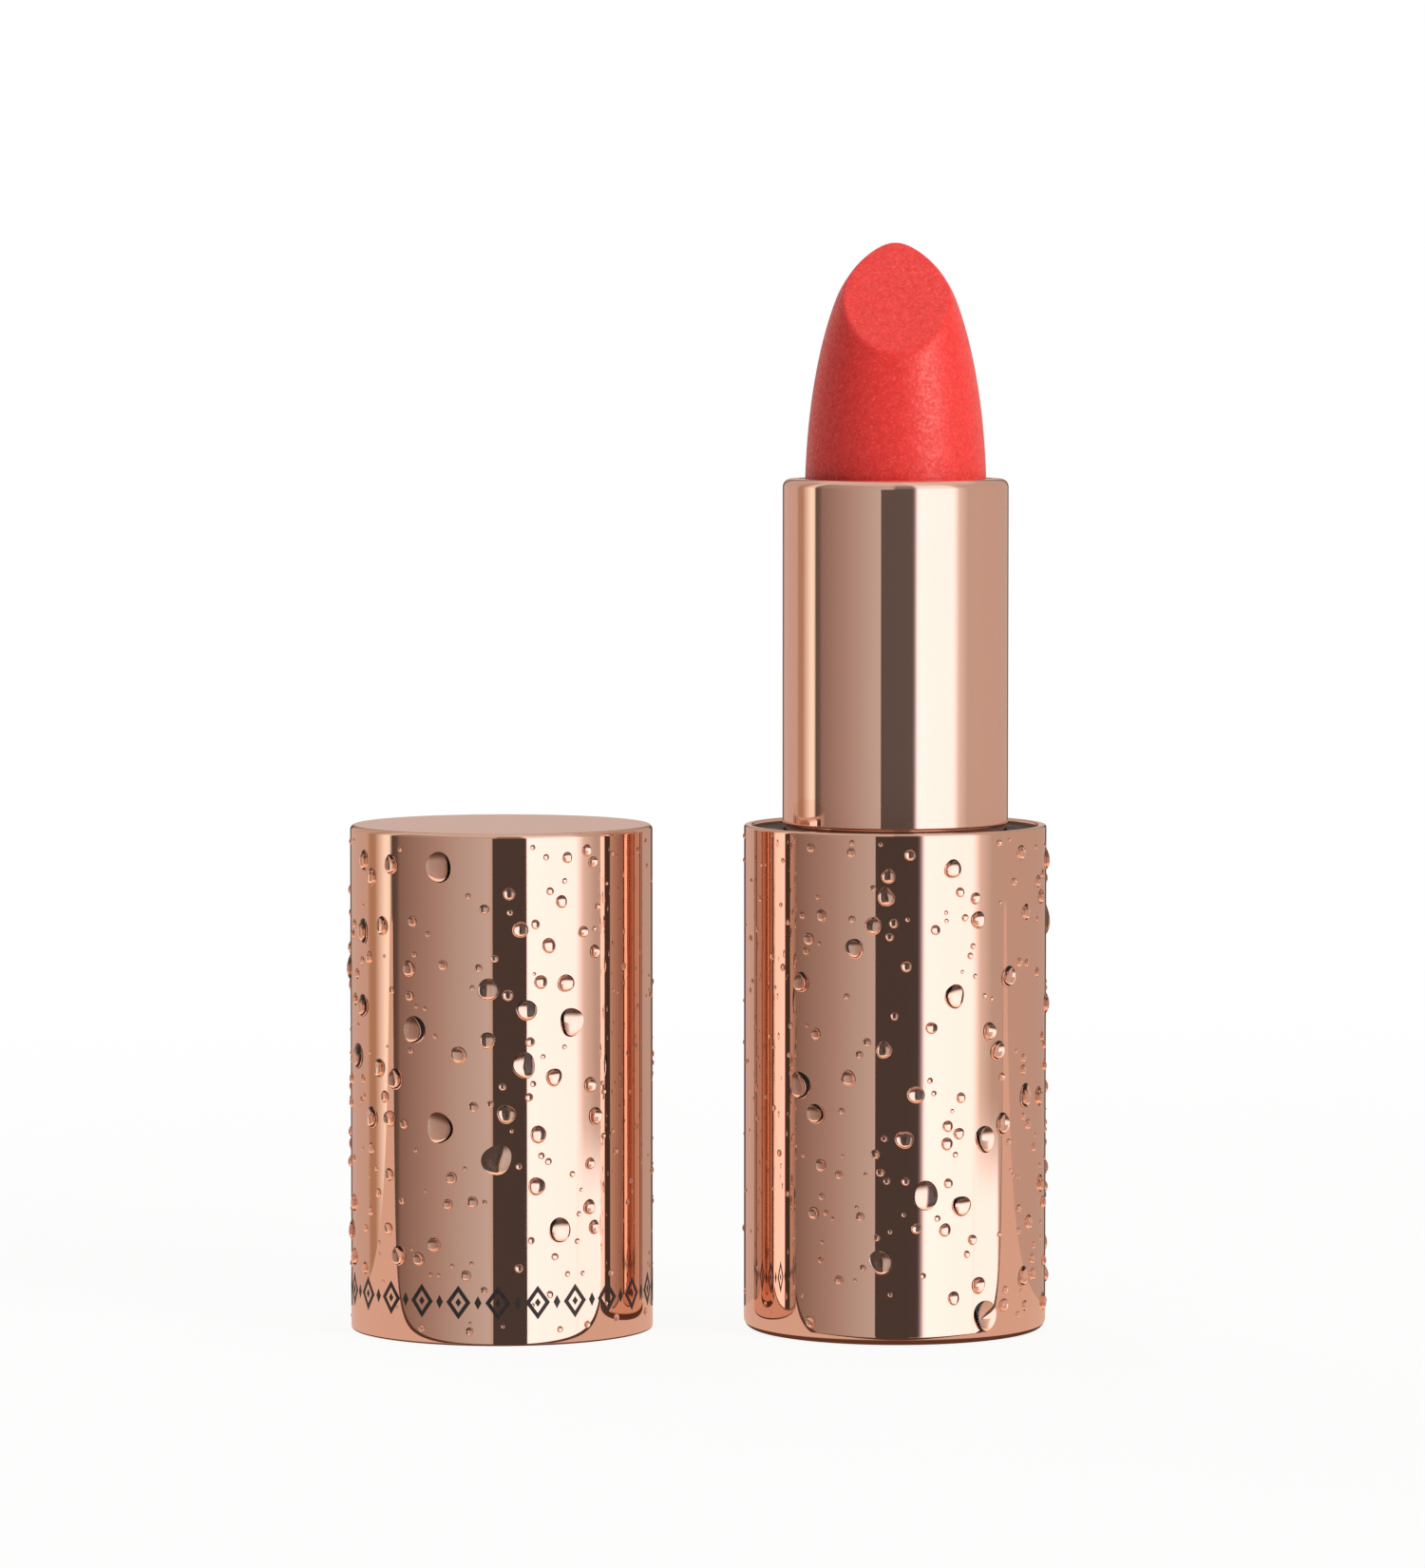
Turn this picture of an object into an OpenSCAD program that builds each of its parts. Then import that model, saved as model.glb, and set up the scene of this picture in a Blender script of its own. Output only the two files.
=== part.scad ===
// Twist-up lipstick case: weighted base, turning sleeve, rising wax bullet, and a cap that stands beside it.
// Millimetres, +Z up. The origin is the centre of the base's foot, on the surface that the case stands on.
// The bullet is drawn fully raised. Turning the sleeve anticlockwise, seen from above, lowers it.

/* [Case] */
// Outside diameter of the base and of the cap
case_d = 21.2; // [20.8:0.1:23]
// Height of the base, from its foot to its rim
base_h = 35.4; // [34:0.1:38]
// Height of the cap
cap_h = 35.4; // [34:0.1:40]
// Wall of the two metal shells
shell_t = 0.6; // [0.4:0.1:0.8]
// Rounding of the base's foot
foot_round = 0.7; // [0.3:0.1:1]
// Rounding of the cap's top edge
crown_round = 0.3; // [0.2:0.1:1]
// Distance from the base's axis to the axis of the cap that stands beside it
cap_spacing = 27.6; // [24:0.1:60]

/* [Sleeve] */
// Outside diameter of the sleeve
sleeve_d = 15.8; // [15.7:0.05:16.2]
// Height of the sleeve's rim above the base's rim
sleeve_rise = 24.2; // [22:0.1:26]
// Rounding of the sleeve's rim
sleeve_round = 0.6; // [0.3:0.1:0.6]
// Height of the gap between the base's rim and the sleeve's full diameter
sleeve_gap = 0.1; // [0.1:0.05:0.3]
// Depth of the black collar's ledge below the base's rim
ledge_drop = 0.35; // [0.2:0.05:0.8]

/* [Bullet] */
// Diameter of the wax bullet
bullet_d = 12.7; // [12.2:0.1:12.7]
// Height of the bullet's point above the sleeve's rim, fully raised
bullet_rise = 16.5; // [14:0.1:18]
// Angle between the slanted facet and the bullet's axis
facet_angle = 42; // [35:1:50]
// Height that the slanted facet takes off the round point
tip_cut = 0.6; // [0.3:0.1:1.5]

/* [Mechanism] */
// Rise of the bullet from fully lowered to fully raised
travel = 18.5; // [15:0.5:19]
// Rise of the bullet for each whole turn of the sleeve
lead = 12; // [10:0.5:14]
// Diameter of the two lugs on the carrier cup
lug_d = 1.2; // [1:0.1:1.4]
// Clearance beside a lug, in its helical groove
groove_gap = 0.12; // [0.1:0.01:0.2]
// Clearance beside a lug, in its upright slot
slot_gap = 0.15; // [0.1:0.01:0.25]
// Height of the carrier cup
cup_h = 11.5; // [10:0.5:12]
// Height of the steel weight
weight_h = 9; // [5:0.5:12]

/* [Hidden] */
$fn = 128;
eps = 0.01;

// Radii, from the case's wall inwards
shell_r = case_d / 2;
insert_r = shell_r - shell_t;
sleeve_r = sleeve_d / 2;
neck_r = sleeve_r - 0.2;
cam_r = neck_r - 0.25;
cam_bore_r = cam_r - 0.52;
tube_r = cam_bore_r - 0.05;
tube_bore_r = tube_r - 0.42;
cup_r = tube_bore_r - 0.06;
cup_bore_r = cup_r - 0.45;
bullet_r = bullet_d / 2;
lip_r = tube_bore_r + 0.3;
foot_bore_r = cup_bore_r - 0.55;
well_r = neck_r + 0.15;

// Heights
floor_t = 0.8;
wall_t = 1;
ledge_z = base_h - ledge_drop;
sleeve_z = base_h + sleeve_gap;
sleeve_top = base_h + sleeve_rise;
lip_t = 0.5;
cam_top = sleeve_top - lip_t;
tube_top = cam_top - 0.2;
cup_top = tube_top - 0.9;
cup_z = cup_top - cup_h;
lug_z = cup_z + lug_d;
lug_low = lug_z - travel;
step_z = cup_z - travel - 0.2;
ring_z = step_z - 0.9;
cam_z = step_z - 1.7;
flange_t = 1.4;
shelf_z = cam_z - 0.2 - flange_t;

// Shade label, in the foot's recess
recess_r = 8.2;
recess_depth = 0.4;
label_t = 0.25;

// Drag ring, in the neck of the slotted tube
ring_t = 0.4;
ring_seat_r = cam_bore_r - 0.01 - 2 * ring_t;

// Snap bead that holds the sleeve down
bead_z = tube_top - 1.2;
bead_out = 0.17;
bead_half = 0.3;

// Foot of the slotted tube, and its socket in the base insert
socket_r = tube_bore_r + 0.14;
socket_depth = 8.5;
pocket_r = insert_r - wall_t;
pocket_top = shelf_z - 1.2;
rib_t = 0.8;

// Cap liner
liner_bore_r = sleeve_r + 0.1;
liner_z = 0.4;
liner_ribs = 8;

degrees_per_mm = 360 / lead;

// Points of a circular arc in the lathe plane, from one angle to another
function arc(x, z, r, from, to, steps = 6) =
  [for (i = [0:steps]) let (a = from + (to - from) * i / steps) [x + r * cos(a), z + r * sin(a)]];

// Upright cylinder between two heights
module disc(r, z0, z1) {
  translate([0, 0, z0]) cylinder(r = r, h = z1 - z0);
}

// Upright tube between two heights
module tube(r_out, r_in, z0, z1) {
  difference() {
    disc(r_out, z0, z1);
    disc(r_in, z0 - eps, z1 + eps);
  }
}

// Solid of revolution from an outline of [radius, height] points
module lathe(outline) {
  rotate_extrude() polygon(outline);
}

// Closed cylinder with a rounded lower edge and a rounded upper edge
module rounded_can(r, h, low_round, high_round) {
  lathe(concat(
    [[0, 0]],
    arc(r - low_round, low_round, low_round, -90, 0),
    arc(r - high_round, h - high_round, high_round, 0, 90),
    [[0, h]]
  ));
}

// Straight ribs around the axis, kept inside the radius r_out
module ribs(count, r_in, r_out, thick, z0, z1) {
  intersection() {
    disc(r_out, z0, z1);
    for (i = [0:count - 1])
      rotate([0, 0, i * 360 / count])
        translate([r_in, -thick / 2, z0]) cube([r_out - r_in + 1, thick, z1 - z0]);
  }
}

// Drawn metal cup with a recess for the shade label in its foot
module base_shell() {
  color([0.80, 0.62, 0.54])
  difference() {
    rounded_can(shell_r, base_h, foot_round, 0.15);
    disc(insert_r, floor_t, base_h + eps);
    disc(recess_r, -eps, recess_depth);
  }
}

// Black moulding inside the base: visible ledge, well for the sleeve, socket for the slotted tube
module base_insert() {
  color([0.06, 0.05, 0.05])
  difference() {
    union() {
      tube(insert_r, pocket_r, floor_t, ledge_z);
      disc(pocket_r + eps, pocket_top, ledge_z);
      disc(socket_r + wall_t, shelf_z - socket_depth - wall_t, pocket_top + eps);
      ribs(6, socket_r, pocket_r + eps, rib_t, shelf_z - socket_depth, pocket_top + eps);
    }
    disc(well_r, shelf_z, ledge_z + eps);
    disc(socket_r, shelf_z - socket_depth, shelf_z + eps);
  }
}

// Steel slug that gives the base its heft
module base_weight() {
  color([0.55, 0.56, 0.58])
  translate([0, 0, floor_t]) rounded_can(pocket_r - 0.05, weight_h, 0.3, 0.3);
}

// Blank paper disc in the foot's recess
module shade_label() {
  color([0.93, 0.91, 0.88])
  disc(recess_r - 0.15, recess_depth - label_t, recess_depth);
}

// Guide tube with two upright slots for the lugs, pressed into the base insert
module slotted_tube() {
  color([0.85, 0.85, 0.83])
  difference() {
    union() {
      disc(socket_r, shelf_z - socket_depth, shelf_z + eps);
      disc(well_r - 0.05, shelf_z, shelf_z + flange_t);
      disc(tube_r, shelf_z, tube_top);
      lathe([
        [tube_r - eps, bead_z - bead_half - bead_out], [tube_r + bead_out, bead_z - bead_half],
        [tube_r + bead_out, bead_z + bead_half], [tube_r - eps, bead_z + bead_half + bead_out]
      ]);
    }
    disc(foot_bore_r, shelf_z - socket_depth - eps, step_z + eps);
    disc(tube_bore_r, step_z, tube_top + eps);
    tube(tube_r + 1, ring_seat_r, ring_z - ring_t - 0.05, ring_z + ring_t + 0.05);
    slot_w = lug_d + 2 * slot_gap;
    slot_low = lug_low - slot_w / 2;
    slot_high = lug_z + slot_w / 2;
    translate([-tube_r - 1, -slot_w / 2, slot_low]) cube([2 * tube_r + 2, slot_w, slot_high - slot_low]);
  }
}

// Silicone ring that rubs on the cam's bore and keeps the sleeve where it is turned
module drag_ring() {
  color([0.75, 0.75, 0.72])
  translate([0, 0, ring_z]) rotate_extrude() translate([ring_seat_r + ring_t, 0]) circle(r = ring_t, $fn = 48);
}

// Drawn metal sleeve, with an in-turned rim and a narrower neck inside the base
module sleeve_shell() {
  color([0.83, 0.65, 0.57])
  lathe(concat(
    [[cam_r, cam_z], [neck_r, cam_z], [neck_r, sleeve_z], [sleeve_r, sleeve_z]],
    arc(sleeve_r - sleeve_round, sleeve_top - sleeve_round, sleeve_round, 0, 90),
    [[lip_r, sleeve_top], [lip_r, sleeve_top - lip_t], [cam_r, sleeve_top - lip_t]]
  ));
}

// One helical groove for a lug, cut from the bore side
module cam_groove() {
  floor_r = cam_r - 0.09;
  slope = atan(lead / (2 * PI * tube_r));
  half = (lug_d / 2 + groove_gap) / sin(slope) / tube_r * 180 / PI;
  low = lug_low - lug_d / 2 - 3 * groove_gap;
  high = lug_z + lug_d / 2 + 3 * groove_gap;
  twist = (high - low) * degrees_per_mm;
  translate([0, 0, low]) rotate([0, 0, (low - lug_z) * degrees_per_mm])
    linear_extrude(height = high - low, twist = -twist, slices = ceil(twist / 6), $fn = 8)
      polygon(concat(
        [for (a = [half, -half]) (cam_bore_r - 0.3) * [cos(a), sin(a)]],
        [for (i = [-2:2]) floor_r * [cos(i * half / 2), sin(i * half / 2)]]
      ));
}

// Plastic cam inside the sleeve, with two helical grooves and a relief for the snap bead
module spiral_cam() {
  color([0.90, 0.89, 0.86])
  difference() {
    tube(cam_r, cam_bore_r, cam_z, cam_top);
    disc(tube_r + bead_out + 0.07, bead_z - 2 * bead_half, bead_z + 2 * bead_half);
    for (turn = [0, 180]) rotate([0, 0, turn]) cam_groove();
  }
}

// Inner ribs that grip the wax
module cup_ribs() {
  difference() {
    ribs(4, cup_bore_r - 0.35, cup_bore_r + eps, 0.5, cup_z + 0.9, cup_top - 2);
    disc(cup_bore_r - 0.35, cup_z, cup_top);
  }
}

// Cup that carries the bullet up and down on its two lugs
module carrier_cup() {
  color([0.88, 0.87, 0.84])
  union() {
    difference() {
      disc(cup_r, cup_z, cup_top);
      disc(cup_bore_r, cup_z + 1, cup_top + eps);
    }
    rotate([0, 0, 45]) cup_ribs();
    for (side = [0, 180])
      rotate([0, 0, side]) translate([cup_r - 0.3, 0, lug_z]) rotate([0, 90, 0])
        cylinder(d = lug_d, h = cam_r - 0.18 - cup_r + 0.3, $fn = 48);
  }
}

// Wax bullet: a stub in the cup, an elliptical point above it, and one slanted facet facing -Y
module lipstick_bullet() {
  tip_z = sleeve_top + bullet_rise;
  point_h = tip_z + tip_cut - cup_top;
  tip_back = bullet_r * sqrt(1 - pow(1 - tip_cut / point_h, 2));
  color([0.86, 0.22, 0.20])
  difference() {
    union() {
      disc(cup_bore_r, cup_z + 1, cup_top + eps);
      lathe(concat(
        [[0, cup_top]],
        [for (a = [0:4:88]) [bullet_r * cos(a), cup_top + point_h * sin(a)]],
        [[0, cup_top + point_h]]
      ));
    }
    rotate([0, 0, 45]) cup_ribs();
    translate([-20, tip_back, tip_z]) rotate([90 - facet_angle, 0, 0]) translate([0, -40, 0]) cube([40, 80, 20]);
  }
}

// Moves the cap's parts to where the cap stands, mouth down
module at_cap() {
  translate([-cap_spacing, 0, 0]) children();
}

// Drawn metal cap, closed at the top
module cap_shell() {
  color([0.80, 0.62, 0.54])
  at_cap() difference() {
    rounded_can(shell_r, cap_h, 0.15, crown_round);
    disc(insert_r, -eps, cap_h - floor_t);
  }
}

// Black moulding inside the cap, which slides over the sleeve
module cap_liner() {
  liner_top = cap_h - floor_t;
  color([0.07, 0.06, 0.06])
  at_cap() union() {
    tube(liner_bore_r + wall_t, liner_bore_r, liner_z, liner_top);
    disc(liner_bore_r + wall_t, liner_top - wall_t, liner_top);
    tube(insert_r, liner_bore_r, liner_z, liner_z + wall_t);
    ribs(liner_ribs, liner_bore_r + wall_t - 0.1, insert_r, rib_t, liner_z, liner_top);
  }
}

base_shell();
base_insert();
base_weight();
shade_label();
slotted_tube();
drag_ring();
sleeve_shell();
spiral_cam();
carrier_cup();
lipstick_bullet();
cap_shell();
cap_liner();
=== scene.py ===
"""Looks of the twist-up lipstick case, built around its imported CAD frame. Metres, +Z up.

The case stands open with its bullet raised, and its cap stands beside it. The metal shells, the sleeve
and the wax bullet are fine meshes here; the parts inside keep their CAD meshes.
"""
import math
import random

import bpy
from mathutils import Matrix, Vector


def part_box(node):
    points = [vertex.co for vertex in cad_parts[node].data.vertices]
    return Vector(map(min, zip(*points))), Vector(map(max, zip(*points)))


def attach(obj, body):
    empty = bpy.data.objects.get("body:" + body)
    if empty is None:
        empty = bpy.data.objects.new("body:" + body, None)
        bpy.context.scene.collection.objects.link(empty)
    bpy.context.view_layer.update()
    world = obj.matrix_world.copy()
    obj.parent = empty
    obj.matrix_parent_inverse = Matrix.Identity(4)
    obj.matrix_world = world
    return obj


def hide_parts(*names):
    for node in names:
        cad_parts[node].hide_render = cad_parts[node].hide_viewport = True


MM = 0.001
TURN = 2 * math.pi

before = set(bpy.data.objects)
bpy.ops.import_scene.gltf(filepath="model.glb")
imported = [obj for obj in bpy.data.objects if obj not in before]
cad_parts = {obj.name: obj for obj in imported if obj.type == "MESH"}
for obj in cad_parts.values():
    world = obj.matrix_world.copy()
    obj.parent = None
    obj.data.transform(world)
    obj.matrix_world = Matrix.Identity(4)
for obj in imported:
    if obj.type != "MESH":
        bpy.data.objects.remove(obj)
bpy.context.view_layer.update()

# Sizes, read from the frame
base_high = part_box("base_shell")[1]
cap_low, cap_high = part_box("cap_shell")
sleeve_low, sleeve_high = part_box("sleeve_shell")
bullet_low, bullet_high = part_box("lipstick_bullet")

SHELL_R = base_high.x
SHELL_T = SHELL_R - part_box("base_insert")[1].x
BASE_H = base_high.z
CAP_H = cap_high.z
CAP_X = (cap_low.x + cap_high.x) / 2
SLEEVE_R = sleeve_high.x
SLEEVE_TOP = sleeve_high.z
SLEEVE_INNER_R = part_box("spiral_cam")[1].x
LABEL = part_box("shade_label")[1]
CUP_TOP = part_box("carrier_cup")[1].z
BULLET_R = bullet_high.x
TIP_Z = bullet_high.z


# ---------------------------------------------------------------- meshes

def mesh_object(name, vertices, faces, smooth=True):
    mesh = bpy.data.meshes.new(name)
    mesh.from_pydata(vertices, [], faces)
    mesh.validate()
    mesh.polygons.foreach_set("use_smooth", [smooth] * len(mesh.polygons))
    mesh.update()
    piece = bpy.data.objects.new(name, mesh)
    bpy.context.scene.collection.objects.link(piece)
    return piece


def circle(radius, z, segments, centre_x=0.0):
    return [(centre_x + radius * math.cos(TURN * i / segments), radius * math.sin(TURN * i / segments), z)
            for i in range(segments)]


def arc(r, z, radius, start, end, steps=8):
    """Points (radius, height) of a circular arc in the lathe plane, in degrees."""
    points = []
    for i in range(steps + 1):
        a = math.radians(start + (end - start) * i / steps)
        points.append((r + radius * math.cos(a), z + radius * math.sin(a)))
    return points


def skin(rings, closed=False):
    """Vertices and faces over a row of rings of equally many points. A ring of one point is a pole."""
    segments = max(len(ring) for ring in rings)
    vertices, index = [], []
    for ring in rings:
        index.append([len(vertices) + (i if len(ring) > 1 else 0) for i in range(segments)])
        vertices.extend(ring)
    pairs = list(zip(index, index[1:])) + ([(index[-1], index[0])] if closed else [])
    faces = []
    for low, high in pairs:
        for i in range(segments):
            j = (i + 1) % segments
            corners = [low[i], low[j], high[j], high[i]]
            faces.append([v for k, v in enumerate(corners) if v != corners[k - 1]])
    return vertices, faces


def merged(parts):
    """One list of vertices and one of faces out of several such pairs."""
    vertices, faces = [], []
    for part_vertices, part_faces in parts:
        start = len(vertices)
        vertices.extend(part_vertices)
        faces.extend([start + v for v in face] for face in part_faces)
    return vertices, faces


def hold_edges(outline, closed):
    """Adds a point near both ends of each long straight, so that smooth shading bends only at the edges."""
    hold = 0.03 * MM
    held = []
    for i, (r, z) in enumerate(outline):
        held.append((r, z))
        if i + 1 == len(outline) and not closed:
            break
        next_r, next_z = outline[(i + 1) % len(outline)]
        length = math.hypot(next_r - r, next_z - z)
        if length > 8 * hold:
            for along in (hold / length, 1 - hold / length):
                held.append((r + (next_r - r) * along, z + (next_z - z) * along))
    return held


def lathe(name, outline, centre_x=0.0, segments=256):
    """Closed solid turned from an outline. Points at radius 0 become poles; otherwise the outline loops."""
    closed = outline[0][0] > 0
    rings = [circle(r, z, segments, centre_x) if r > 0 else [(centre_x, 0.0, z)]
             for r, z in hold_edges(outline, closed)]
    return mesh_object(name, *skin(rings, closed))


def disc(name, radius, z, segments=96):
    return mesh_object(name, circle(radius, z, segments), [range(segments)], smooth=False)


def on_shell(centre_x, angle, z, across, up, lift):
    """Point of a flat shape that is wrapped round a shell, lifted off its surface."""
    turn = angle + across / SHELL_R
    r = SHELL_R + lift
    return (centre_x + r * math.cos(turn), r * math.sin(turn), z + up)


def finish_piece(piece, body, material, replaces=()):
    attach(piece, body)
    piece.data.materials.append(material)
    if replaces:
        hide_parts(*replaces)
    return piece


# ---------------------------------------------------------------- shader nodes

def feed(tree, socket, value):
    """Sets a socket to a constant, or links it to another node's output."""
    if isinstance(value, bpy.types.NodeSocket):
        tree.links.new(value, socket)
    else:
        socket.default_value = value


def new_material(name, **constants):
    """Material with a Principled shader whose named sockets are set to constants."""
    material = bpy.data.materials.new(name)
    material.use_nodes = True
    shader = material.node_tree.nodes["Principled BSDF"]
    for socket, value in constants.items():
        shader.inputs[socket.replace("_", " ")].default_value = value
    return material, material.node_tree, shader


def maths(tree, operation, *values):
    node = tree.nodes.new("ShaderNodeMath")
    node.operation = operation
    for socket, value in zip(node.inputs, values):
        feed(tree, socket, value)
    return node.outputs["Value"]


def noise(tree, scale, detail=3.0, stretch=(1, 1, 1)):
    """Noise over the piece's own coordinates. scale is in features per metre."""
    place = tree.nodes.new("ShaderNodeTexCoord")
    mapping = tree.nodes.new("ShaderNodeMapping")
    mapping.inputs["Scale"].default_value = stretch
    texture = tree.nodes.new("ShaderNodeTexNoise")
    texture.inputs["Scale"].default_value = scale
    texture.inputs["Detail"].default_value = detail
    tree.links.new(place.outputs["Object"], mapping.inputs["Vector"])
    tree.links.new(mapping.outputs["Vector"], texture.inputs["Vector"])
    return texture.outputs["Fac"]


def remap(tree, source, low, high, to_low=0.0, to_high=1.0, smooth=False):
    node = tree.nodes.new("ShaderNodeMapRange")
    if smooth:
        node.interpolation_type = "SMOOTHSTEP"
    for socket, value in (("Value", source), ("From Min", low), ("From Max", high),
                          ("To Min", to_low), ("To Max", to_high)):
        feed(tree, node.inputs[socket], value)
    return node.outputs["Result"]


def feed_colour(tree, socket, colour):
    """Sets a colour socket to (red, green, blue), or links it to another node's output."""
    feed(tree, socket, (*colour, 1) if isinstance(colour, tuple) else colour)


def mix_colours(tree, factor, first, second):
    node = tree.nodes.new("ShaderNodeMix")
    node.data_type = "RGBA"
    feed(tree, node.inputs["Factor"], factor)
    feed_colour(tree, node.inputs["A"], first)
    feed_colour(tree, node.inputs["B"], second)
    return node.outputs["Result"]


def bump(tree, shader, height, strength, distance, sockets=("Normal",)):
    node = tree.nodes.new("ShaderNodeBump")
    node.inputs["Strength"].default_value = strength
    node.inputs["Distance"].default_value = distance
    tree.links.new(height, node.inputs["Height"])
    for socket in sockets:
        tree.links.new(node.outputs["Normal"], shader.inputs[socket])


def glow(tree, colour):
    node = tree.nodes.new("ShaderNodeEmission")
    feed_colour(tree, node.inputs["Color"], colour)
    return node.outputs["Emission"]


# ---------------------------------------------------------------- materials

def rose_gold(name, tint, haze, metallic):
    """Mirror-plated metal: slightly uneven tint, faint haze and the ripple of a drawn tube."""
    material, tree, shader = new_material(name, Metallic=metallic)
    tone = remap(tree, noise(tree, 60, stretch=(1, 1, 0.4)), 0.3, 0.7)
    deep = tuple(c * 0.97 for c in tint)
    tree.links.new(mix_colours(tree, tone, deep, tint), shader.inputs["Base Color"])
    smear = remap(tree, noise(tree, 350, 5, (1, 1, 0.5)), 0.35, 0.75, haze * 0.6, haze * 1.8)
    tree.links.new(smear, shader.inputs["Roughness"])
    bump(tree, shader, noise(tree, 180, 2, (1, 1, 0.25)), 0.05, 0.1 * MM)
    return material


def moulded_plastic(name, colour, roughness):
    """Injection-moulded plastic with a fine spark-eroded grain."""
    material, tree, shader = new_material(name, IOR=1.5)
    tone = remap(tree, noise(tree, 400), 0.3, 0.7)
    deep = tuple(c * 0.85 for c in colour)
    tree.links.new(mix_colours(tree, tone, deep, colour), shader.inputs["Base Color"])
    wear = remap(tree, noise(tree, 900), 0.3, 0.7, roughness * 0.8, roughness * 1.25)
    tree.links.new(wear, shader.inputs["Roughness"])
    bump(tree, shader, noise(tree, 6000, 2), 0.15, 0.02 * MM)
    return material


def clear_resin():
    """Clear drops, with faint ripples inside."""
    material, tree, shader = new_material(
        "clear_resin", Transmission_Weight=1.0, IOR=1.48, Base_Color=(1, 0.99, 0.98, 1))
    tree.links.new(remap(tree, noise(tree, 800), 0.3, 0.7, 0.0, 0.02), shader.inputs["Roughness"])
    bump(tree, shader, noise(tree, 900, 1), 0.03, 0.05 * MM)
    return material


def coral_wax():
    """Satin wax: coral red with fine pearl specks, a broken sheen and light that goes a little way in."""
    material, tree, shader = new_material(
        "coral_wax", Subsurface_Weight=0.1, Subsurface_Scale=0.5 * MM, Subsurface_Radius=(1.0, 0.2, 0.15),
        Specular_IOR_Level=0.2, Coat_Roughness=0.36, Coat_IOR=1.45,
        Sheen_Weight=0.14, Sheen_Roughness=0.4, Sheen_Tint=(0.9, 0.95, 1.0, 1))
    mottle = remap(tree, noise(tree, 1900, 5), 0.32, 0.68)
    wax = mix_colours(tree, mottle, (0.545, 0.026, 0.023), (0.635, 0.034, 0.030))
    speck = remap(tree, noise(tree, 6500, 2), 0.56, 0.74, 0, 0.5)
    tree.links.new(mix_colours(tree, speck, wax, (0.86, 0.13, 0.10)), shader.inputs["Base Color"])
    tree.links.new(remap(tree, speck, 0, 0.5, 0.45, 0.28), shader.inputs["Roughness"])
    polish = remap(tree, noise(tree, 4200, 3), 0.42, 0.62, 0.05, 0.75)
    tree.links.new(polish, shader.inputs["Coat Weight"])
    bump(tree, shader, noise(tree, 3800, 4), 0.65, 0.05 * MM, ("Normal", "Coat Normal"))
    return material


def brushed_steel():
    material, tree, shader = new_material("brushed_steel", Metallic=1.0)
    turned = remap(tree, noise(tree, 900, 3, (1, 1, 12)), 0.3, 0.7)
    tree.links.new(mix_colours(tree, turned, (0.42, 0.43, 0.45), (0.58, 0.59, 0.61)),
                   shader.inputs["Base Color"])
    tree.links.new(remap(tree, turned, 0, 1, 0.28, 0.42), shader.inputs["Roughness"])
    return material


def label_paper():
    material, tree, shader = new_material("label_paper", Roughness=0.7)
    fibre = remap(tree, noise(tree, 3500, 4, (1, 3, 1)), 0.3, 0.7)
    tree.links.new(mix_colours(tree, fibre, (0.80, 0.77, 0.73), (0.88, 0.86, 0.83)),
                   shader.inputs["Base Color"])
    bump(tree, shader, fibre, 0.2, 0.02 * MM)
    return material


def printed_ink():
    material, tree, shader = new_material("printed_ink", IOR=1.5)
    tone = remap(tree, noise(tree, 2500), 0.3, 0.7)
    tree.links.new(mix_colours(tree, tone, (0.012, 0.010, 0.010), (0.022, 0.018, 0.017)),
                   shader.inputs["Base Color"])
    tree.links.new(remap(tree, tone, 0, 1, 0.35, 0.5), shader.inputs["Roughness"])
    return material


ROSE = rose_gold("rose_gold_mirror", (0.93, 0.66, 0.54), 0.03, 1.0)
SLEEVE_ROSE = rose_gold("rose_gold_sleeve", (0.95, 0.68, 0.57), 0.035, 0.95)
BLACK = moulded_plastic("black_plastic", (0.012, 0.011, 0.012), 0.55)
WHITE = moulded_plastic("natural_plastic", (0.72, 0.70, 0.66), 0.35)
SILICONE = moulded_plastic("silicone", (0.55, 0.55, 0.52), 0.5)
RESIN = clear_resin()
WAX = coral_wax()
INK = printed_ink()

CAD_FINISHES = {
    "base_insert": BLACK, "cap_liner": BLACK, "base_weight": brushed_steel(), "shade_label": label_paper(),
    "slotted_tube": WHITE, "spiral_cam": WHITE, "carrier_cup": WHITE, "drag_ring": SILICONE,
}


def paint_cad_nodes():
    for node, material in CAD_FINISHES.items():
        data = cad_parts[node].data
        data.materials.clear()
        data.materials.append(material)


# ---------------------------------------------------------------- metal pieces

FLOOR_T = 0.8 * MM  # thickness of the closed end of each shell


def build_cap_shell():
    """Drawn cup with its mouth down: inside, over the mouth's lip, up the outside and over the flat top."""
    inner, ceiling, lip, crown, corner = SHELL_R - SHELL_T, CAP_H - FLOOR_T, 0.12 * MM, 0.35 * MM, 0.4 * MM
    middle = 12 * MM
    outline = ([(0.0, ceiling)]
               + arc(inner - corner, ceiling - corner, corner, 90, 0)
               + [(inner, middle)]
               + arc(inner + lip, lip, lip, 180, 270, 4) + arc(SHELL_R - lip, lip, lip, 270, 360, 4)
               + [(SHELL_R, middle)]
               + arc(SHELL_R - crown, CAP_H - crown, crown, 0, 90, 12)
               + [(SHELL_R * 0.6, CAP_H), (0.0, CAP_H)])
    piece = lathe("cap_shell_skin", outline, CAP_X)
    return finish_piece(piece, "cap", ROSE, ["cap_shell"])


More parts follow.
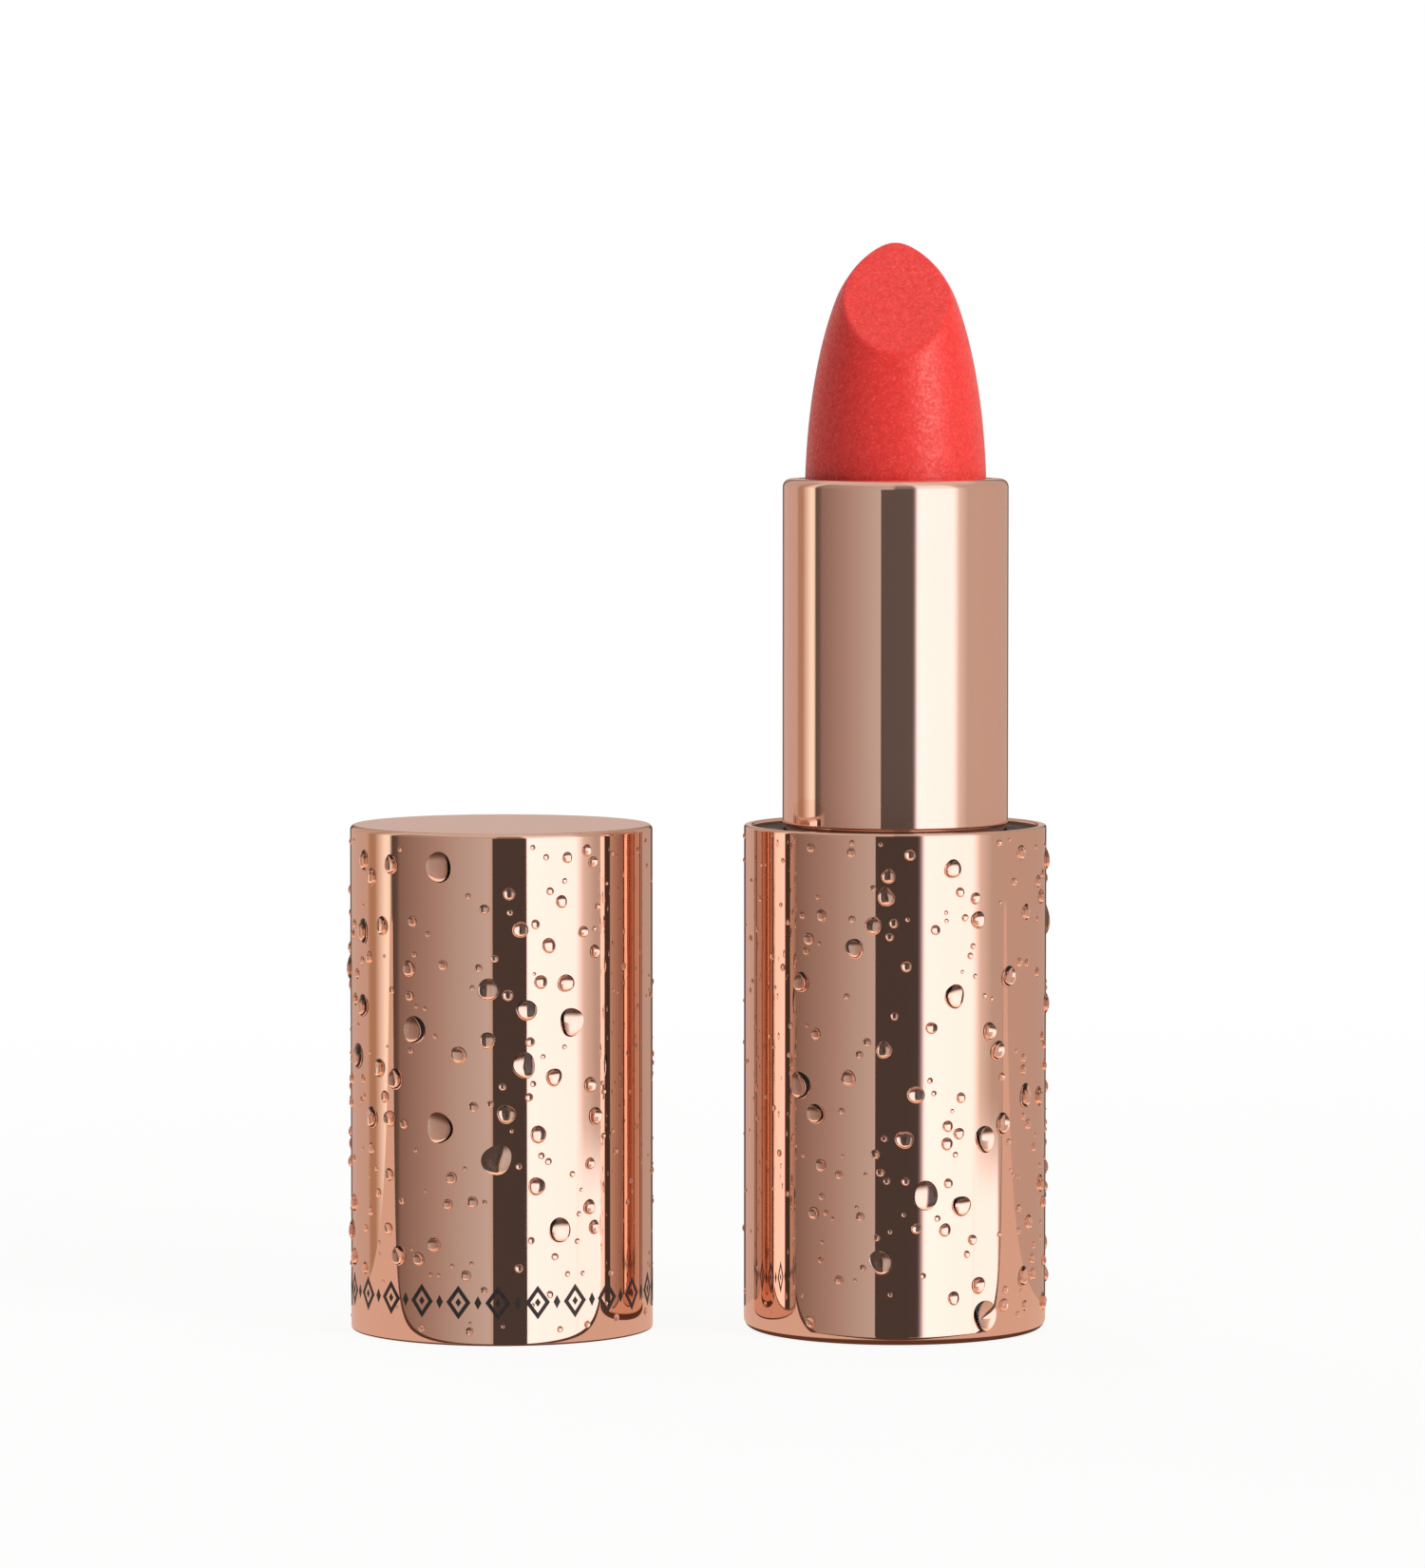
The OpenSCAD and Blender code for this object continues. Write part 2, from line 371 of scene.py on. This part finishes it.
def build_base_shell():
    """Drawn cup with its mouth up: the recess for the label, the rounded foot, the rim and the inside."""
    inner, foot, rim, middle = SHELL_R - SHELL_T, 0.7 * MM, 0.18 * MM, BASE_H / 2
    recess_r, recess_z = LABEL.x + 0.15 * MM, LABEL.z
    chamfer, lip = 0.1 * MM, 0.15 * MM
    outline = ([(0.0, recess_z), (recess_r - chamfer, recess_z), (recess_r, recess_z - chamfer)]
               + arc(recess_r + lip, lip, lip, 180, 270, 4)
               + arc(SHELL_R - foot, foot, foot, 270, 360, 12)
               + [(SHELL_R, middle)]
               + arc(SHELL_R - rim, BASE_H - rim, rim, 0, 90, 5)
               + arc(inner + rim, BASE_H - rim, rim, 90, 180, 5)
               + [(inner, middle), (inner, FLOOR_T), (0.0, FLOOR_T)])
    piece = lathe("base_shell_skin", outline)
    return finish_piece(piece, "base", ROSE, ["base_shell"])


def build_sleeve():
    """Sleeve with an in-turned rim and the narrower neck that runs down into the base."""
    neck_r = SLEEVE_R - 0.2 * MM
    lip_r, lip_t, lip_round = BULLET_R + 0.4 * MM, 0.5 * MM, 0.12 * MM
    edge, foot, foot_z = 0.6 * MM, 0.05 * MM, BASE_H + 0.1 * MM
    outline = ([(SLEEVE_INNER_R, sleeve_low.z), (neck_r, sleeve_low.z), (neck_r, foot_z)]
               + arc(SLEEVE_R - foot, foot_z + foot, foot, 270, 360, 4)
               + [(SLEEVE_R, (foot_z + SLEEVE_TOP) / 2)]
               + arc(SLEEVE_R - edge, SLEEVE_TOP - edge, edge, 0, 90, 12)
               + arc(lip_r + lip_round, SLEEVE_TOP - lip_round, lip_round, 90, 180, 4)
               + [(lip_r, SLEEVE_TOP - lip_t), (SLEEVE_INNER_R, SLEEVE_TOP - lip_t)])
    piece = lathe("sleeve_skin", outline)
    return finish_piece(piece, "sleeve", SLEEVE_ROSE, ["sleeve_shell"])


# ---------------------------------------------------------------- wax bullet

FACET_ANGLE = math.radians(42)
FACET_NORMAL = (0.0, -math.cos(FACET_ANGLE), math.sin(FACET_ANGLE))
FACET_EDGE = 0.22 * MM  # how soft the edge round the facet is
TIP_CUT = 0.65 * MM  # height that the facet takes off the point
POINT_H = TIP_Z + TIP_CUT - CUP_TOP
TIP_BACK = BULLET_R * math.sqrt(1 - (1 - TIP_CUT / POINT_H) ** 2)
PINCH = 0.28  # share of its width that the wax loses at the tip
PINCH_DEPTH = 4 * MM  # how far below the tip that begins


def smooth_min(a, b, width):
    """Smaller of two lengths, blended over width so that the edge between them is round."""
    h = max(width - abs(a - b), 0.0) / width
    return min(a, b) - h * h * width / 4


def bullet_reach(origin_z, direction):
    """Distance from the axis point at origin_z to the wax surface, an ellipsoid with a slanted facet."""
    dx, dy, dz = direction
    foot = origin_z - CUP_TOP
    a = (dx * dx + dy * dy) / BULLET_R ** 2 + dz * dz / POINT_H ** 2
    b = foot * dz / POINT_H ** 2
    c = foot ** 2 / POINT_H ** 2 - 1
    to_body = (-b + math.sqrt(b * b - a * c)) / a
    towards = dy * FACET_NORMAL[1] + dz * FACET_NORMAL[2]
    if towards < 1e-6:
        return to_body
    offset = TIP_BACK * FACET_NORMAL[1] + TIP_Z * FACET_NORMAL[2]
    to_facet = (offset - origin_z * FACET_NORMAL[2]) / towards
    return smooth_min(to_body, to_facet, FACET_EDGE)


def pinch(depth):
    """Narrowing of the wax from side to side near its tip, which makes the tip a pointed arch."""
    t = min(depth / PINCH_DEPTH, 1.0)
    return 1 - PINCH * (1 - t) ** 2


def build_bullet():
    """Stub inside the cup, shoulder on the cup's rim, then the pointed body with its slanted facet."""
    segments, rows = 224, 150
    stub_r, shoulder = BULLET_R - 0.4 * MM, 0.05 * MM
    origin_z = CUP_TOP + 2.5 * MM
    rings = [[(0.0, 0.0, bullet_low.z)], circle(stub_r, bullet_low.z, segments),
             circle(stub_r, CUP_TOP, segments), circle(BULLET_R - shoulder, CUP_TOP, segments),
             circle(BULLET_R, CUP_TOP + shoulder, segments)]
    for row in range(1, rows):
        # From 20 degrees below level up to the tip, in finer steps towards the tip
        tilt = math.radians(110 * (1 - (1 - row / rows) ** 1.35) - 20)
        ring = []
        for i in range(segments):
            a = TURN * i / segments
            direction = (math.cos(a) * math.cos(tilt), math.sin(a) * math.cos(tilt), math.sin(tilt))
            x, y, z = (bullet_reach(origin_z, direction) * d for d in direction)
            ring.append((x * pinch(TIP_Z - origin_z - z), y, origin_z + z))
        rings.append(ring)
    rings.append([(0.0, 0.0, origin_z + bullet_reach(origin_z, (0, 0, 1)))])
    piece = mesh_object("wax_bullet", *skin(rings))
    return finish_piece(piece, "carrier", WAX, ["lipstick_bullet"])


# ---------------------------------------------------------------- clear drops

# Up to which share of the drops each range of radius goes, in millimetres
DROP_SIZES = [(0.05, 0.75, 1.05), (0.18, 0.45, 0.75), (0.50, 0.26, 0.45), (1.00, 0.12, 0.26)]
FINE_DROP = 0.3 * MM  # largest radius of a fine drop
UNEVEN_DROP = 0.9 * MM  # radius from which a drop is as uneven as they get
DROP_HEIGHT = 0.26 * MM  # of the tallest
DROP_ROOM = 1.12  # room kept round a drop, as a multiple of its radius
DROP_GAP = 0.06 * MM  # further room between two drops
DROP_TRIES = 60  # for each drop wanted
FACING = 0.64  # cosine of the angle up to which a place faces the neighbour, about 50 degrees


def scatter_drops(seed, count, height, neighbour, keep_off):
    """Places (angle, height, radius) of drops on a shell: a few large ones, many fine ones, none touching.

    Only fine drops sit on the side that faces the neighbour, or on the keep_off bands of height.
    """
    dice = random.Random(seed)
    placed = []
    for _ in range(count * DROP_TRIES):
        if len(placed) == count:
            break
        least, most = next((a, b) for share, a, b in DROP_SIZES if len(placed) / count < share)
        radius = dice.uniform(least, most) * MM
        angle = dice.uniform(0, TURN)
        z = dice.uniform(radius * 1.3 + 0.5 * MM, height - radius * 1.2 - 0.3 * MM)
        sheltered = math.cos(angle - neighbour) > FACING
        if radius > FINE_DROP and (sheltered or any(low < z < high for low, high in keep_off)):
            continue
        if all(gap(angle, z, other) >= (radius + other[2]) * DROP_ROOM + DROP_GAP for other in placed):
            placed.append((angle, z, radius))
    return placed


def gap(angle, z, other):
    """Distance over the shell's surface from (angle, z) to another drop's centre."""
    around = abs((angle - other[0] + math.pi) % TURN - math.pi) * SHELL_R
    return math.hypot(around, z - other[1])


def drop(place, centre_x, dice):
    """One low bead. Fine drops are round; large ones are uneven, stretched and sag downwards."""
    angle, z, radius = place
    segments, rows = (32, 10) if radius > 0.4 * MM else (20, 6)
    height = min(radius * dice.uniform(0.40, 0.50), DROP_HEIGHT)
    dome = (radius ** 2 + height ** 2) / (2 * height)
    uneven = min(radius / UNEVEN_DROP, 1.0)
    wobble = (0.015 + dice.uniform(0, 0.05) * uneven, 0.01 + dice.uniform(0, 0.05) * uneven)
    phase = (dice.uniform(0, TURN), dice.uniform(0, TURN))
    tall = 1 + dice.uniform(-0.04, 0.10) * uneven
    sag = 0.15 * uneven

    def ring(share, lift, points=segments):
        """Outline at a share of the drop's radius."""
        made = []
        for i in range(points):
            a = TURN * i / points
            edge = 1 + wobble[0] * math.cos(2 * a + phase[0]) + wobble[1] * math.cos(3 * a + phase[1])
            across = radius * share * edge * math.cos(a) / math.sqrt(tall)
            up = radius * share * edge * math.sin(a) * tall - sag * radius * (1 - share * share)
            made.append(on_shell(centre_x, angle, z, across, up, lift))
        return made

    sunk = -0.03 * MM
    rings = [ring(0, sunk, 1), ring(0.98, sunk)]
    for row in range(rows, 0, -1):
        share = math.sin(TURN / 4 * row / rows)
        rings.append(ring(share, math.sqrt(dome ** 2 - (radius * share) ** 2) - (dome - height)))
    return skin(rings + [ring(0, height, 1)])


def build_drops(name, body, centre_x, height, neighbour, seed, count=420, keep_off=()):
    dice = random.Random(seed + 1)
    drops = [drop(place, centre_x, dice) for place in scatter_drops(seed, count, height, neighbour, keep_off)]
    piece = mesh_object(name, *merged(drops))
    return finish_piece(piece, body, RESIN)


# ---------------------------------------------------------------- printed ornament

ORNAMENT_Z = 3.0 * MM


def lozenge(angle, outer, inner):
    """Printed lozenge round a lozenge-shaped hole, each given by its width and height."""
    def ring(size, lift):
        return [on_shell(CAP_X, angle, ORNAMENT_Z, size[0] / 2 * math.cos(TURN * i / 4),
                         size[1] / 2 * math.sin(TURN * i / 4), lift) for i in range(4)]

    sunk, raised = -0.02 * MM, 0.015 * MM
    return skin([ring(outer, sunk), ring(outer, raised), ring(inner, raised), ring(inner, sunk)], closed=True)


def build_ornament():
    """Printed ring just above the cap's mouth: hollow lozenges with a small solid one between them."""
    repeats = 24
    lozenges = []
    for i in range(repeats):
        angle, halfway = TURN * i / repeats, TURN * i / repeats + TURN / repeats / 2
        lozenges += [lozenge(angle, (1.75 * MM, 2.35 * MM), (1.05 * MM, 1.45 * MM)),
                     lozenge(angle, (0.42 * MM, 0.60 * MM), (0.02 * MM, 0.03 * MM)),
                     lozenge(halfway, (0.50 * MM, 0.95 * MM), (0.02 * MM, 0.04 * MM))]
    piece = mesh_object("cap_ornament", *merged(lozenges), smooth=False)
    return finish_piece(piece, "cap", INK)


# ---------------------------------------------------------------- studio seen in the metal

# Brightness and tint of the studio round the case, by degrees from the camera's side towards +X
STUDIO_BANDS = [
    (-180, (0.62, 0.46, 0.40)), (-176, (0.62, 0.46, 0.40)), (-172, (0.14, 0.09, 0.08)),
    (-164, (0.14, 0.09, 0.08)), (-160, (0.62, 0.44, 0.38)), (-122, (0.60, 0.42, 0.35)),
    (-118, (0.45, 0.26, 0.16)), (-111, (0.45, 0.26, 0.16)), (-104, (0.80, 0.64, 0.54)),
    (-98, (1.10, 0.98, 0.84)), (-93, (1.10, 0.98, 0.84)), (-90.5, (0.10, 0.065, 0.05)),
    (-85, (0.13, 0.09, 0.075)), (-82, (0.26, 0.17, 0.14)), (-50, (0.42, 0.30, 0.26)),
    (-26, (0.52, 0.44, 0.40)), (-8, (0.60, 0.52, 0.49)), (-3, (0.52, 0.36, 0.26)),
    (-1.5, (0.070, 0.056, 0.050)), (16, (0.075, 0.060, 0.054)), (17.5, (0.17, 0.13, 0.18)),
    (19, (0.55, 0.48, 0.50)), (21.5, (1.45, 1.42, 1.50)), (60, (1.40, 1.36, 1.40)),
    (67, (0.80, 0.66, 0.59)), (78, (0.54, 0.42, 0.36)), (100, (0.57, 0.41, 0.345)),
    (160, (0.52, 0.38, 0.32)), (164, (0.14, 0.09, 0.08)), (172, (0.14, 0.09, 0.08)),
    (176, (0.62, 0.46, 0.40)), (180, (0.62, 0.46, 0.40)),
]


def ray_direction(tree):
    """A ray's direction, as degrees from the camera's side (-Y) towards +X and as height from -1 to 1."""
    place = tree.nodes.new("ShaderNodeTexCoord")
    split = tree.nodes.new("ShaderNodeSeparateXYZ")
    tree.links.new(place.outputs["Generated"], split.inputs["Vector"])
    forward = maths(tree, "MULTIPLY", split.outputs["Y"], -1)
    return maths(tree, "DEGREES", maths(tree, "ARCTAN2", split.outputs["X"], forward)), split.outputs["Z"]


def upright_bands(tree, degrees):
    ramp = tree.nodes.new("ShaderNodeValToRGB")
    stops = ramp.color_ramp.elements
    while len(stops) < len(STUDIO_BANDS):
        stops.new(0.5)
    for stop, (place, colour) in zip(stops, STUDIO_BANDS):
        stop.position = (place + 180) / 360
        stop.color = (*colour, 1)
    tree.links.new(remap(tree, degrees, -180, 180), ramp.inputs["Fac"])
    return ramp.outputs["Color"]


def low_panel(tree, below, degrees, height):
    """Bright panel low on the right, with soft sides and a soft upper edge."""
    middle, full_within, gone_beyond, upper_edge = 73, 10, 13, (-0.104, -0.118)
    off_middle = maths(tree, "ABSOLUTE", maths(tree, "SUBTRACT", degrees, middle))
    sides = remap(tree, off_middle, full_within, gone_beyond, 1, 0, smooth=True)
    top = remap(tree, height, *upper_edge, smooth=True)
    return mix_colours(tree, maths(tree, "MULTIPLY", sides, top), below, (1.40, 1.36, 1.40))


def build_world():
    """White behind the case for the camera; upright bands of light and dark for everything else."""
    world = bpy.data.worlds.new("studio")
    bpy.context.scene.world = world
    world.use_nodes = True
    tree = world.node_tree
    degrees, height = ray_direction(tree)
    bands = low_panel(tree, upright_bands(tree, degrees), degrees, height)

    def layer(below, colour, start, end, cover=1.0):
        """Covers what is below with a colour as the direction's height goes from start to end."""
        return mix_colours(tree, remap(tree, height, start, end, 0, cover, smooth=True), below, colour)

    mirrored = layer(bands, (0.48, 0.38, 0.33), 0.10, 0.20, 0.4)
    mirrored = layer(mirrored, (0.72, 0.60, 0.54), 0.62, 0.78, 0.8)
    mirrored = layer(mirrored, (0.66, 0.56, 0.50), -0.30, -0.62)
    through_drops = layer(bands, (1.35, 0.98, 0.76), 0.24, 0.45)
    through_drops = layer(through_drops, (0.10, 0.045, 0.028), -0.26, -0.46)
    through_drops = layer(through_drops, (0.40, 0.29, 0.24), -0.55, -0.80)

    rays = tree.nodes.new("ShaderNodeLightPath").outputs
    seen = mix_colours(tree, rays["Is Transmission Ray"], mirrored, through_drops)
    seen = mix_colours(tree, rays["Is Camera Ray"], seen, (1, 1, 1))
    studio = tree.nodes["Background"]
    tree.links.new(seen, studio.inputs["Color"])
    tree.links.new(remap(tree, rays["Is Diffuse Ray"], 0, 1, 1, 0.22), studio.inputs["Strength"])


def only_in_mirrors(card, colour, contact_shadow_colour=None):
    """Gives a flat card an even glow that mirrors and drops see and nothing else does.

    What is within about half a millimetre of the card sees the painted contact shadow colour instead, if
    there is one.
    """
    material, tree, _ = new_material(card.name)
    if contact_shadow_colour:
        # Painted contact shadow: the glow turns dark where a foot stands within about half a millimetre
        distance = tree.nodes.new("ShaderNodeLightPath").outputs["Ray Length"]
        colour = mix_colours(tree, remap(tree, distance, 0.4 * MM, 0.7 * MM, smooth=True), contact_shadow_colour, colour)
    tree.links.new(glow(tree, colour), tree.nodes["Material Output"].inputs["Surface"])
    card.data.materials.append(material)
    card.visible_camera = False
    card.visible_diffuse = False
    card.visible_shadow = False


# Painted contact shadow: colour of the table right under a foot, where the foot shades it
CONTACT_SHADOW = (0.12, 0.05, 0.03)


def build_table_strip():
    """Painted reflection of the table in the shells: a warm glowing strip, dark along its front edge, with
    painted contact shadow close to a foot.
    """
    front, edge, reach, sunk = -(SHELL_R + 0.25 * MM), 0.8 * MM, 400 * MM, -0.02 * MM
    # Glowing cards that only the metal and drops see, painted in place of the table's reflection
    for name, near, far, colour in (("painted_table_reflection", front, -front, (0.72, 0.50, 0.41)),
                                    ("painted_table_edge_reflection", front - edge, front, (0.10, 0.05, 0.04))):
        corners = [(-reach, near, sunk), (reach, near, sunk), (reach, far, sunk), (-reach, far, sunk)]
        only_in_mirrors(mesh_object(name, corners, [range(4)], smooth=False), colour, CONTACT_SHADOW)


def build_contact_shadow():
    """Painted contact shadow: a dark disc under the base, seen in the metal as a dark line along the foot.
    The cap has none, because it would stay when the cap is lifted.
    """
    # Dark disc seen only in the metal, painted in place of the shade under the foot
    only_in_mirrors(disc("base_contact_shadow", SHELL_R + 0.1 * MM, -0.01 * MM), CONTACT_SHADOW)


def build_flag():
    """Dark flag in front of the case, whose reflection is the dark stripe up the middle of each piece."""
    left, right, low, high, away = -40 * MM, 24 * MM, -300 * MM, 60 * MM, -143 * MM
    corners = [(left, away, low), (right, away, low), (right, away, high), (left, away, high)]
    only_in_mirrors(mesh_object("flag", corners, [range(4)], smooth=False), (0.072, 0.057, 0.051))


# ---------------------------------------------------------------- floor, light and camera

def build_floor():
    """Wide pale floor that runs out into white."""
    floor = disc("floor", 6.0, 0.0)
    floor.visible_glossy = False
    floor.visible_transmission = False
    material, tree, shader = new_material(
        "pale_floor", Base_Color=(0.93, 0.93, 0.93, 1), Roughness=0.6, Specular_IOR_Level=0.2)
    place = tree.nodes.new("ShaderNodeTexCoord")
    distance = tree.nodes.new("ShaderNodeVectorMath")
    distance.operation = "LENGTH"
    tree.links.new(place.outputs["Object"], distance.inputs[0])
    fade = remap(tree, distance.outputs["Value"], 60 * MM, 300 * MM, 0.9, 1, smooth=True)
    either = tree.nodes.new("ShaderNodeMixShader")
    tree.links.new(fade, either.inputs["Fac"])
    tree.links.new(shader.outputs["BSDF"], either.inputs[1])
    tree.links.new(glow(tree, (1, 1, 1)), either.inputs[2])
    tree.links.new(either.outputs["Shader"], tree.nodes["Material Output"].inputs["Surface"])
    floor.data.materials.append(material)


def aimed(name, data, place, target):
    """Links a camera or a light at a place, pointing at a target."""
    piece = bpy.data.objects.new(name, data)
    piece.location = place
    piece.rotation_euler = (Vector(target) - Vector(place)).to_track_quat("-Z", "Y").to_euler()
    bpy.context.scene.collection.objects.link(piece)
    return piece


def soft_light(name, place, size, watts, colour=(1, 1, 1), glints_on=()):
    """Square area light. It shows as a highlight only where it glints on pieces, and lights only those."""
    light = bpy.data.lights.new(name, "AREA")
    light.shape = "SQUARE"
    light.size = size
    light.energy = watts
    light.color = colour
    piece = aimed(name, light, place, (CAP_X / 2, 0, 40 * MM))
    piece.visible_glossy = bool(glints_on)
    piece.visible_transmission = bool(glints_on)
    if glints_on:
        lit = bpy.data.collections.new(name + "_lights")
        for other in glints_on:
            lit.objects.link(other)
        piece.light_linking.receiver_collection = lit


def build_lights(wax_and_drops):
    side, warm = (0.66, -0.58, 0.38), (1.0, 0.92, 0.84)
    soft_light("overhead", (0, -0.1, 1.2), 1.2, 9.5)
    soft_light("key_right", side, 0.35, 4, warm)
    soft_light("glint", side, 0.35, 5, warm, glints_on=wax_and_drops)
    soft_light("fill_back", (-0.45, 0.75, 0.5), 0.6, 3)


def build_camera():
    """Half a metre away, level with the top of the closed case, aimed between the two pieces."""
    camera = bpy.data.cameras.new("camera")
    camera.lens = 173.4
    camera.sensor_width = 36
    camera.clip_start = 0.05
    camera.clip_end = 20
    across = -12.8 * MM
    bpy.context.scene.camera = aimed("camera", camera, (across, -528 * MM, 71 * MM), (across, 0, 38.2 * MM))


bpy.context.scene.view_settings.view_transform = "Standard"
build_camera()
build_world()
build_floor()
build_table_strip()
build_contact_shadow()
build_flag()
paint_cad_nodes()
build_base_shell()
build_cap_shell()
build_sleeve()
build_ornament()
bullet = build_bullet()
base_drops = build_drops("base_drops", "base", 0.0, BASE_H, neighbour=math.pi, seed=11)
cap_drops = build_drops("cap_drops", "cap", CAP_X, CAP_H, neighbour=0.0, seed=23,
                        keep_off=[(ORNAMENT_Z - 1.4 * MM, ORNAMENT_Z + 1.4 * MM)])
build_lights([bullet, base_drops, cap_drops])
